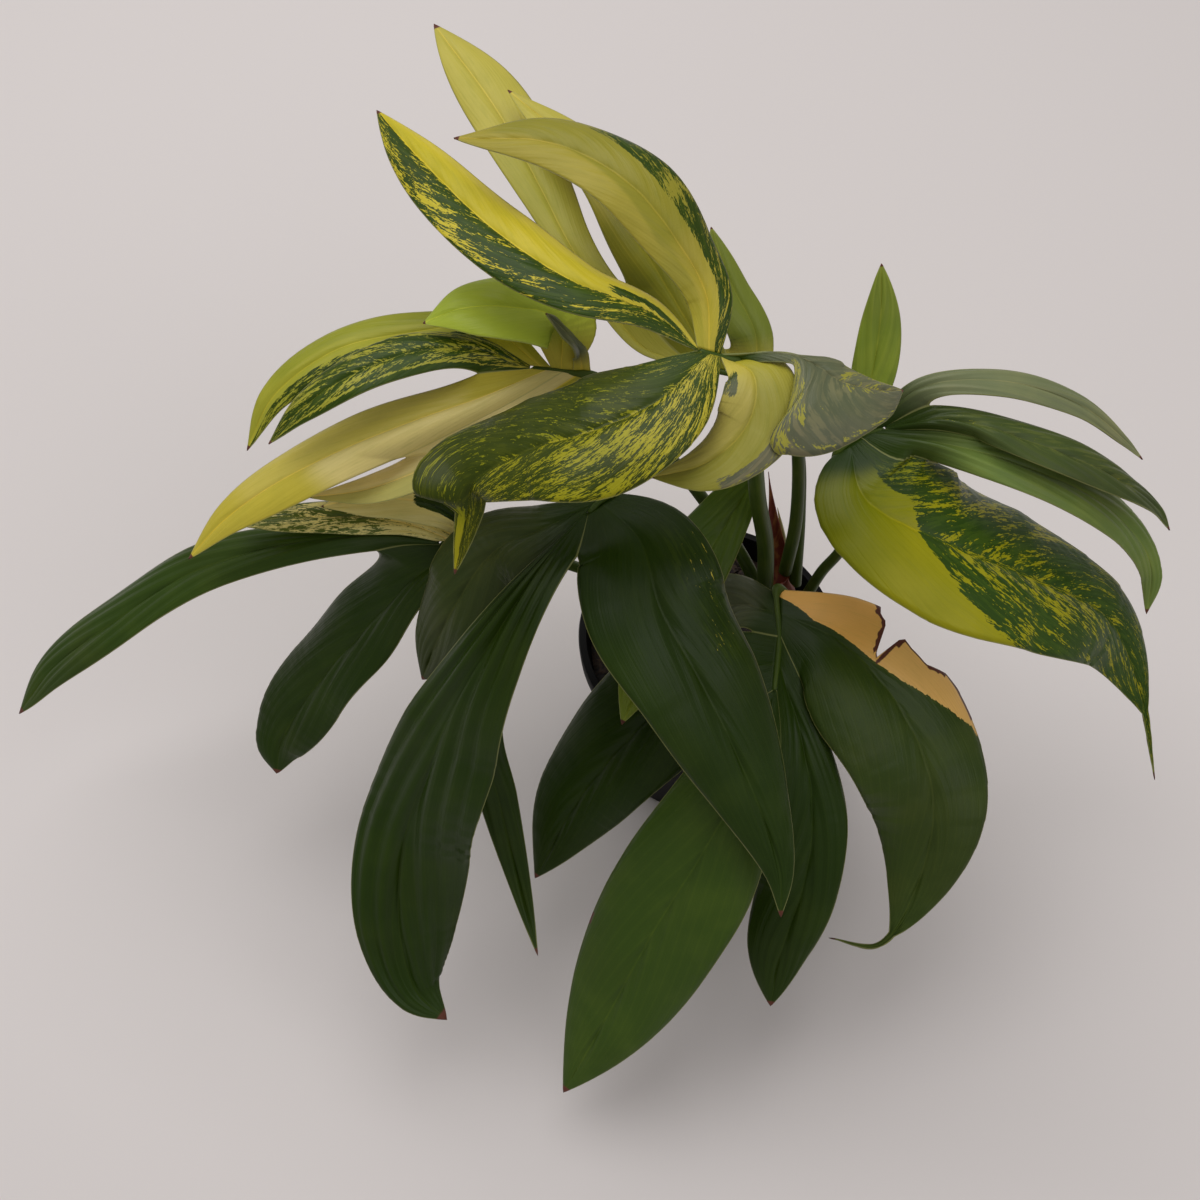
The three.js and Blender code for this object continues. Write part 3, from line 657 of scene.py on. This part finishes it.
def leafBlade(name, leaf, material, seed):
    names = list(leaf["lobes"])
    usual = {**usualLobe, "pleat": leaf.get("pleat", usualLobe["pleat"])}
    lobes = [{**usual, **leaf["lobes"][one]} for one in names]
    tip = names.index(leaf["tip"])
    roots = rootPoints(leaf, tip, len(names) - 1 - tip)
    shapes = [lobePoints(roots[i:i + 2], lobe, seed + i) for i, lobe in enumerate(lobes)]
    for i, lobe in enumerate(lobes[:-1]):
        if lobe["web"]:
            webTogether(shapes[i][0], shapes[i + 1][0], shapes[i][1], lobe["web"])
    bm = bmesh.new()
    layers = {layer: bm.loops.layers.float_vector.new(layer) for layer in ("streak", "place")}
    layers |= {layer: bm.loops.layers.float_color.new(layer) for layer in ("pale", "deep")}
    layers |= {layer: bm.loops.layers.float.new(layer) for layer in ("green", "shade", "burn")}
    flatMap = bm.loops.layers.uv.new("leafMap")
    sheets = []
    for lobe, (points, facts) in zip(lobes, shapes):
        sheet = sheetOf(bm, blade["columns"], blade["rows"])
        told = {}
        for line, row, rowFacts in zip(points, sheet, facts):
            for point, vert, fact in zip(line, row, rowFacts):
                vert.co = point
                told[vert] = fact
        for face in {face for row in sheet for vert in row for face in vert.link_faces}:
            for loop in face.loops:
                fact = told[loop.vert]
                v, t = fact["v"], fact["t"]
                loop[flatMap].uv = ((v + 1) / 2, t)
                loop[layers["streak"]] = fact["streak"]
                loop[layers["place"]] = fact["place"]
                for layer in ("pale", "deep"):
                    own = lobe.get(layer, leaf[layer])
                    loop[layers[layer]] = Vector(leaf[layer]).lerp(own, smoothStep(t, *ownColor))
                loop[layers["green"]] = bandsAt(v, t, lobe.get("green", leaf["green"]), lobe["bands"])
                loop[layers["shade"]] = bandsAt(v, t, 0, lobe["shades"])
                loop[layers["burn"]] = burnAt(fact, lobe)
        sheets.append(sheet)
    welds = {}
    for i, lobe in enumerate(lobes[:-1]):
        for row in range(lobe["web"] * blade["twelfth"] + 1 if lobe["web"] else 0):
            welds[sheets[i + 1][row][0]] = sheets[i][row][-1]
    bmesh.ops.weld_verts(bm, targetmap=welds)
    for sheet in sheets:
        tipPoint = sheet[-1][blade["columns"] // 2].co.copy()
        bmesh.ops.pointmerge(bm, verts=sheet[-1], merge_co=tipPoint)
    piece = newPiece(name + "_blade", bm, material, name)
    giveWall(piece, blade["thickness"])


# Petioles, each running on into its blade's midrib
stalkLook = {
    "sides": 18, "rows": 120, "groove": 0.16, "grooveWidth": 0.45, "swell": 0.14,
    "footWidth": 1.12, "taper": 0.22, "ribShare": 0.75, "footEnd": (-0.004, 0.01), "tipEnd": (-0.002, 0.01),
    "sunk": 0.85, "kneeBefore": 7, "kneeLength": 5,  # mm
    "blend": (0.02, 0.06), "sinking": (0, 0.05),  # shares, before and past the blade's start
    "green": tint(54, 74, 20), "pale": tint(88, 102, 34), "lines": (90, 9, 1), "clouds": 90,
    "roughness": 0.42, "gloss": 0.2,
}


def stalkMaterial():
    look = stalkLook
    spot = newMaterial("petiole_skin")
    lines = spot.node(*tubeSpot).scaled(look["lines"]).noise(1, 3)
    clouds = spot.noise(look["clouds"], 3)
    isPale = lines.step(0.35, 0.75) * 0.5 + clouds.step(0.4, 0.8) * 0.4
    color, roughness = isPale.mix(look["green"], look["pale"]), look["roughness"] + (clouds - 0.5) * 0.2
    return finished(color, roughness, {
        "Specular IOR Level": look["gloss"], "Normal": (lines + clouds * 0.5).bump(0.3, 0.2)})


# A closed tube along a line: radiusAt(share) and, for each angle, shapeAt(angle, share)
def tubeOf(line, radiusAt, shapeAt, look):
    sides, rows = look["sides"], look["rows"]
    bm = bmesh.new()
    mapLayer = bm.loops.layers.uv.new("tubeMap")
    sheet = sheetOf(bm, sides, rows)
    shares = {}
    side = None
    for row, verts in enumerate(sheet):
        share = row / rows
        middle, along = line(share)
        side = side or along.orthogonal()
        side = (side - along * side.dot(along)).normalized()
        across = along.cross(side)
        for column, vert in enumerate(verts):
            angle = math.tau * column / sides
            reach = radiusAt(share) * shapeAt(angle, share) * mm
            vert.co = middle + (side * math.cos(angle) + across * math.sin(angle)) * reach
            shares[vert] = (column / sides, share)
    for row in sheet:
        for vert in row:
            for loop in vert.link_loops:
                loop[mapLayer].uv = shares[vert]
    ends = [sheet[0], sheet[-1]]
    centres = [sum((vert.co for vert in row[:-1]), Vector()) / sides for row in ends]
    bmesh.ops.weld_verts(bm, targetmap={row[-1]: row[0] for row in sheet})
    for row, centre in zip(ends, centres):
        bmesh.ops.pointmerge(bm, verts=row[:-1], merge_co=centre)
    return bm


def roundedEnds(share, foot, tip):  # how a tube closes at its foot and its tip
    return math.sqrt(smoothStep(share, *foot)) * math.sqrt(smoothStep(1 - share, *tip))


def petioleFoot(leaf):
    degrees, height = leaf["from"]
    share = (height - vine["foot"]) / (vine["top"] - vine["foot"])
    reach = vine["radius"] + (vine["topRadius"] - vine["radius"]) * share + leaf["radius"] + seatGap
    angle = math.radians(degrees)
    return (vine["x"] + reach * math.cos(angle), vine["y"] + reach * math.sin(angle), height)


def leafStalk(name, leaf, material):
    look = stalkLook
    above, length = smoothLine([petioleFoot(leaf), *leaf["petiole"], *leaf["midrib"]])
    _, ribLength = smoothLine(leaf["midrib"])
    foot = 1 - ribLength / length  # where the blade starts

    def radiusAt(share):
        stem = leaf["radius"] * (look["footWidth"] - look["taper"] * min(share / foot, 1))
        afterKnee = (share - foot) * length / mm + look["kneeBefore"]
        knee = 1 + look["swell"] * math.exp(-(afterKnee / look["kneeLength"]) ** 2)
        past = beyond(share, foot, look["blend"])
        radius = stem * knee * (1 - past) + rib["radius"] * look["ribShare"] * past
        return radius * roundedEnds(share, look["footEnd"], look["tipEnd"])

    def shapeAt(angle, share):
        return 1 - look["groove"] * math.exp(-(((angle - math.pi) / look["grooveWidth"]) ** 2))

    def line(share):  # along the blade it lies sunk in the tissue, down to its upper side
        point, along = above(share)
        return point - up * (look["sunk"] * mm * beyond(share, foot, look["sinking"])), along

    bm = tubeOf(line, radiusAt, shapeAt, look)
    newPiece(name + "_stalk", bm, material, name)


leafTissue = leafMaterial()
stalkSkin = stalkMaterial()
for index, (leafName, leaf) in enumerate(leaves.items()):
    leafBlade(leafName, leaf, leafTissue, 10 * index)
    leafStalk(leafName, leaf, stalkSkin)
print("leaves:", len(leaves))


# Nursery pot
potLook = {
    "sides": 128, "baseLift": 1.2, "footRing": 4, "step": 14, "sharpAngle": 35, "drillDepth": 12,
    "black": tint(16, 15, 16), "dust": tint(44, 40, 38), "clouds": 38, "grain": 900,
    "roughness": 0.5, "ior": 1.3, "gloss": 0.2,
}


def wallRadius(z):
    return pot["baseRadius"] + (pot["topRadius"] - pot["rimReach"] - pot["baseRadius"]) * z / pot["height"]


def potMaterial():
    look = potLook
    spot = newMaterial("black_moulded_plastic")
    clouds, grain = spot.noise(look["clouds"], 5), spot.noise(look["grain"], 2)
    dust = clouds.step(0.52, 0.82) * 0.3 + grain.step(0.6, 0.8) * 0.1
    return finished(dust.mix(look["black"], look["dust"]), look["roughness"] + dust * 0.5, {
        "IOR": look["ior"], "Specular IOR Level": look["gloss"],
        "Normal": (grain * 0.4 + clouds * 0.3).bump(0.25, 0.3)})


def makePot():
    low, high, floor = pot["height"] - pot["rimDrop"], pot["height"], pot["floor"]
    base, rim, wall = pot["baseRadius"], pot["topRadius"], pot["wall"]
    lift, ring, step = potLook["baseLift"], base - potLook["footRing"], potLook["step"]
    inner, corner = wallRadius(high) - wall, wallRadius(floor) - wall
    outline = [
        (0, lift), (ring - 1, lift), (ring, 0), (base - 1, 0), (base, 1),  # base and foot ring
        (wallRadius(step), step), (wallRadius(step + 1), step + 1.6), (wallRadius(40), 40),  # wall
        (wallRadius(low) - 0.2, low - 0.8), (rim - 1.2, low), (rim - 0.5, low + 0.8),  # under the rim
        (rim, high - 1.6), (rim - 0.5, high - 0.3), (rim - 1.2, high),  # rim
        (inner + 0.4, high), (inner, high - 0.6), (wallRadius(70) - wall, 70),  # inside
        (corner, floor + 0.6), (corner - 1, floor), (0, floor),
    ]
    bm = turnedBody(outline, potLook["sides"])
    piece = newPiece("nursery_pot", bm, potMaterial(), "pot", smooth=False)
    drill = bmesh.new()
    for hole in range(pot["drainHoles"]):
        turn = Matrix.Rotation(math.tau * hole / pot["drainHoles"], 4, "Z")
        place = turn @ Matrix.Translation((pot["drainCircle"] * mm, 0, 0))
        radius = pot["drainRadius"] * mm
        bmesh.ops.create_cone(
            drill, cap_ends=True, segments=24, radius1=radius, radius2=radius,
            depth=potLook["drillDepth"] * mm, matrix=place)
    cutter = meshObject("drill", drill)
    cut = piece.modifiers.new("drain holes", "BOOLEAN")
    cut.object = cutter
    cut.solver = "EXACT"
    drilled = piece.evaluated_get(bpy.context.evaluated_depsgraph_get())
    undrilled = piece.data
    piece.data = bpy.data.meshes.new_from_object(drilled)
    piece.modifiers.clear()
    bpy.data.meshes.remove(undrilled)
    bpy.data.objects.remove(cutter)
    piece.data.shade_smooth()
    piece.data.set_sharp_from_angle(angle=math.radians(potLook["sharpAngle"]))


makePot()
print("pot")


# Potting mix: dark crumbs with chips of bark
mixLook = {
    "sides": 96, "rings": 26, "lumps": [(0.9, 260), (1.2, 90)],  # mm high, and how often to the metre
    "dark": tint(24, 18, 16), "brown": tint(54, 38, 29), "pale": tint(96, 72, 54),
    "crumbs": 320, "cells": 420, "roughness": 0.86,
}
chipLook = {
    "count": 420, "seed": 7, "tilt": 0.5,
    "fromWall": 5, "halfLength": (1.2, 4.2), "lie": (-0.6, 0.9),  # mm
    "breadth": (0.4, 0.9), "thickness": (0.2, 0.45), "rough": 0.12,  # shares of the half length
}


def mixMaterial():
    look = mixLook
    spot = newMaterial("potting_mix")
    crumbs = spot.noise(look["crumbs"], 6)
    cells = spot.node("ShaderNodeTexVoronoi", {}, {"Vector": spot, "Scale": look["cells"]})
    earth = crumbs.step(0.42, 0.68).mix(look["dark"], look["brown"])
    earth = (cells.step(0.5, 0.9) * 0.35).mix(earth, look["pale"])
    return finished(earth, look["roughness"] + (crumbs - 0.5) * 0.2, {
        "Normal": (crumbs + cells * 0.6).bump(0.8, 1.2)})


wallAtSoil = wallRadius(soil["level"]) - pot["wall"]


def soilTop(radius):  # height of the filling's surface at a distance from its middle, in mm
    return soil["level"] + soil["crown"] * (1 - (radius / wallAtSoil) ** 2)


def makeSoil(material):
    reach = wallAtSoil - seatGap
    bottom = pot["floor"] + seatGap
    foot = wallRadius(bottom) - pot["wall"] - seatGap
    outline = [(0, bottom), (foot / 2, bottom), (foot, bottom), ((foot + reach) / 2, soil["level"] / 2)]
    radii = [reach * (1 - ring / mixLook["rings"]) for ring in range(mixLook["rings"] + 1)]
    outline += [(radius, soilTop(radius)) for radius in radii]
    bm = turnedBody(outline, mixLook["sides"])
    for vert in bm.verts:
        if vert.co.z > (soil["level"] - 0.5) * mm:  # the surface alone
            vert.co.z += sum(high * mm * noise.noise(vert.co * often) for high, often in mixLook["lumps"])
    newPiece("potting_mix", bm, material, "soil")


def makeChips(material):
    look = chipLook
    draw = random.Random(look["seed"])
    reach = wallAtSoil - look["fromWall"]
    bm = bmesh.new()
    for _ in range(look["count"]):
        radius = reach * math.sqrt(draw.random())
        angle = draw.uniform(0, math.tau)
        size = draw.uniform(*look["halfLength"]) * mm
        height = soilTop(radius) + draw.uniform(*look["lie"])
        place = Vector((radius * math.cos(angle), radius * math.sin(angle), height)) * mm
        turn = Matrix.Rotation(draw.uniform(0, math.tau), 4, "Z")
        tip = Matrix.Rotation(draw.uniform(-look["tilt"], look["tilt"]), 4, "X")
        breadth, thickness = draw.uniform(*look["breadth"]), draw.uniform(*look["thickness"])
        flat = Matrix.Diagonal((size, size * breadth, size * thickness, 1))
        chip = bmesh.ops.create_icosphere(
            bm, subdivisions=1, radius=1, matrix=Matrix.Translation(place) @ turn @ tip @ flat)
        for vert in chip["verts"]:
            dent = Vector((draw.gauss(0, 1), draw.gauss(0, 1), draw.gauss(0, 0.6)))
            vert.co += dent * size * look["rough"]
    newPiece("bark_chips", bm, material, None, smooth=False)


pottingMix = mixMaterial()
makeSoil(pottingMix)
makeChips(pottingMix)
print("potting mix")


# Vine, with rings where leaves stood
vineLook = {
    "sides": 32, "rows": 90, "rings": [98, 109, 119, 129, 139], "ringHeight": 1.3, "bulge": 0.54,
    "waist": 0.5, "budThin": 0.8, "footEnd": (-0.01, 0.03), "tipEnd": (-0.004, 0.05),
    "green": tint(76, 90, 44), "bark": tint(112, 92, 58), "scale": tint(122, 56, 40),
    "scaleFrom": 0.134, "scaleFade": 0.008,  # where the bud's red scales begin, in metres
    "lines": 500, "clouds": 120, "roughness": 0.6,
}


def vineMaterial():
    look = vineLook
    spot = newMaterial("vine_bark")
    lines = spot.scaled((1, 1, 0.25)).noise(look["lines"], 4)
    clouds = spot.noise(look["clouds"], 3)
    isBark = clouds.step(0.4, 0.65) * 0.7 + lines.step(0.5, 0.8) * 0.3
    bark = isBark.mix(look["green"], look["bark"])
    low, high = look["scaleFrom"], look["scaleFrom"] + look["scaleFade"]
    skin = (spot.part("Z") + clouds * 0.01).step(low, high).mix(bark, look["scale"])
    return finished(skin, look["roughness"] + (clouds - 0.5) * 0.3, {
        "Normal": (lines + clouds).bump(0.5, 0.4)})


def makeVine():
    look = vineLook
    height = vine["top"] - vine["foot"]

    def line(share):
        return Vector((vine["x"], vine["y"], vine["foot"] + share * height)) * mm, up

    def radiusAt(share):
        z = vine["foot"] + share * height
        plain = vine["radius"] + (vine["topRadius"] - vine["radius"]) * share
        plain *= 1 - look["budThin"] * smoothStep(z, look["scaleFrom"] / mm, vine["top"])
        rings = sum(math.exp(-((z - ring) / look["ringHeight"]) ** 2) for ring in look["rings"])
        return (plain - look["waist"] + look["bulge"] * rings) * roundedEnds(
            share, look["footEnd"], look["tipEnd"])

    bm = tubeOf(line, radiusAt, lambda angle, share: 1, look)
    newPiece("vine_stem", bm, vineMaterial(), "vine")


makeVine()
print("vine")


# Papery sheath and the next leaf, still rolled up
sheathLook = {
    "at": [(33, 12, 112), (32.5, 14.5, 124), (31, 19, 138), (28, 26, 154), (22, 34, 190)],
    "rows": 48, "columns": 12, "half": 4.6, "footExtra": 0.25, "taper": (0.25, 1.02),
    "thickness": 0.5, "cup": 0.5, "flutter": 0.12,
    "red": tint(138, 54, 40), "orange": tint(190, 120, 62), "lines": 900, "patches": 260, "roughness": 0.62,
}
rollLook = {
    "at": [(35.2, 13.2, 108), (35.6, 17, 118), (35, 22, 130), (33, 29, 145), (29, 36, 160)],
    "sides": 28, "rows": 70, "radius": 2, "footEnd": (-0.01, 0.05), "thinning": 0.95, "late": 2.2,
    "inner": 0.92, "overlap": 0.12, "turns": 0.6,
    "cream": tint(196, 182, 122), "green": tint(136, 142, 84), "lines": (14, 5, 1), "roughness": 0.4,
}


def sheathMaterial():
    look = sheathLook
    lengthwise = newMaterial("papery_sheath").scaled((1, 1, 0.12))
    lines, patches = lengthwise.noise(look["lines"], 3), lengthwise.noise(look["patches"], 2)
    isOrange = patches.step(0.5, 0.64) * 0.7 + lines.step(0.55, 0.8) * 0.3
    return finished(isOrange.mix(look["red"], look["orange"]), look["roughness"] + (lines - 0.5) * 0.3, {
        "Normal": lines.bump(0.5, 0.3)})


def makeSheath():
    look = sheathLook
    line, _ = smoothLine(look["at"])
    bm = bmesh.new()
    rows, columns = look["rows"], look["columns"]
    sheet = sheetOf(bm, columns, rows)
    for row, verts in enumerate(sheet):
        share = row / rows
        middle, along = line(share)
        side = Vector((0, 1, 0)).cross(along).normalized()
        over = side.cross(along)
        half = look["half"] * (1 - smoothStep(share, *look["taper"])) + look["footExtra"] * (1 - share)
        for column, vert in enumerate(verts):
            v = 2 * column / columns - 1
            curl = half * (look["cup"] * v * v + look["flutter"] * math.sin(9 * share + 2 * v))
            vert.co = middle + side * (v * half * mm) + over * (curl * mm)
    piece = newPiece("red_sheath_paper", bm, sheathMaterial(), "red_sheath")
    giveWall(piece, look["thickness"])


def rollMaterial():
    look = rollLook
    lines = newMaterial("rolled_leaf_skin", tubeSpot).scaled(look["lines"]).noise(1, 3)
    color = lines.step(0.42, 0.66).mix(look["cream"], look["green"])
    return finished(color, look["roughness"] + (lines - 0.5) * 0.2, {"Normal": lines.bump(0.4, 0.3)})


def makeRoll():
    look = rollLook
    line, _ = smoothLine(look["at"])

    def radiusAt(share):  # thinning out to a point
        thinned = 1 - look["thinning"] * share ** look["late"]
        return look["radius"] * math.sqrt(smoothStep(share, *look["footEnd"])) * thinned

    def shapeAt(angle, share):  # the overlapping edge winds round the roll
        turn = (angle / (math.tau) + look["turns"] * share) % 1
        return look["inner"] + look["overlap"] * turn

    bm = tubeOf(line, radiusAt, shapeAt, look)
    newPiece("rolled_leaf_skin", bm, rollMaterial(), "rolled_leaf")


makeSheath()
makeRoll()
print("sheath and rolled leaf")


# Studio: a plain pale floor and soft light
studio = {
    "floor": tint(224, 217, 215), "floorShade": tint(222, 215, 213), "floorSize": 6,
    "sky": tint(255, 252, 250), "skyStrength": 0.28, "aim": (-0.05, 0, 0.2),
    "lamps": [
        {"name": "soft_key", "place": (-0.5, 0.7, 2.0), "size": 2.2, "power": 28.5},
        {"name": "soft_fill", "place": (1.0, -0.9, 1.8), "size": 1.8, "power": 9},
    ],
}


def makeFloor():
    clouds = newMaterial("studio_floor").noise(3, 2)
    material = finished(clouds.mix(studio["floor"], studio["floorShade"]), 0.7 + clouds * 0.1, {})
    bm = bmesh.new()
    bmesh.ops.create_grid(bm, x_segments=1, y_segments=1, size=studio["floorSize"] / 2)
    floor = meshObject("studio_floor", bm)
    floor.data.materials.append(material)


def makeLights():
    world = bpy.data.worlds.new("studio")
    bpy.context.scene.world = world
    world.use_nodes = True
    sky = world.node_tree.nodes["Background"]
    sky.inputs["Color"].default_value = studio["sky"]
    sky.inputs["Strength"].default_value = studio["skyStrength"]
    for lamp in studio["lamps"]:
        data = bpy.data.lights.new(lamp["name"], "AREA")
        data.shape = "DISK"
        data.size = lamp["size"]
        data.energy = lamp["power"]
        light = linked(lamp["name"], data)
        light.location = lamp["place"]
        aim = Vector(studio["aim"]) - light.location
        light.rotation_euler = aim.to_track_quat("-Z", "Y").to_euler()


makeFloor()
makeLights()
print("studio")
